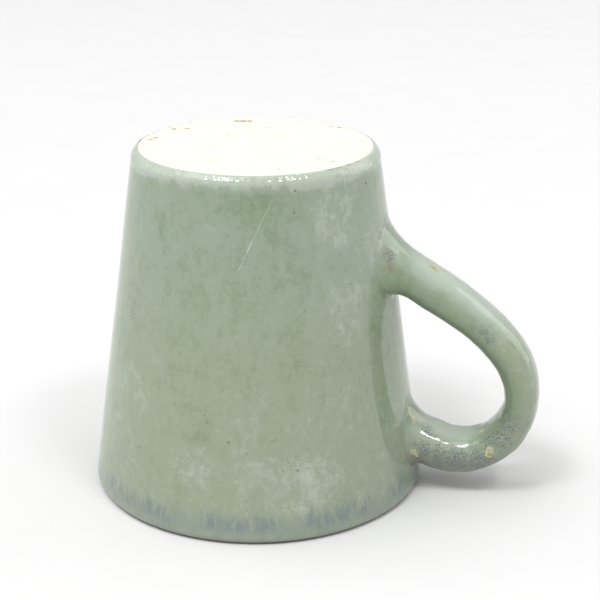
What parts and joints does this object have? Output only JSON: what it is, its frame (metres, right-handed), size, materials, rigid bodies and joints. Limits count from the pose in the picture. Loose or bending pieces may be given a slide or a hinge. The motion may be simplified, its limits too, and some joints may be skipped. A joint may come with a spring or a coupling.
{
  "type": "mug",
  "caption": "Hand-built ceramic mug with a tapered round body, glazed inside and out, a looped side handle and a flat unglazed foot.",
  "frame": {"origin": "centre of the lip circle, on the plane that the lip stands on", "axes": "+Z runs along the mug's axis from the lip to the bare foot, so the mug stands upside down on its lip; +X points from the axis to the handle; a half turn about X stands the mug on its foot"},
  "size_m": [0.1262, 0.0938, 0.096],
  "materials": {
    "bare_clay": "matte",
    "slip": "matte",
    "celadon_glaze": "glossy",
    "lip_glaze": "glossy",
    "liner_glaze": "glossy"
  },
  "bodies": {
    "root": {"base_slab": "bare_clay", "wall": "bare_clay", "base_slip": "slip", "seam_coil": "bare_clay", "liner_glaze": "liner_glaze", "outer_glaze": "celadon_glaze", "lip_glaze": "lip_glaze", "handle": "bare_clay", "foot_end_slip": "slip", "rim_end_slip": "slip", "handle_glaze": "celadon_glaze"}
  },
  "joints": []
}
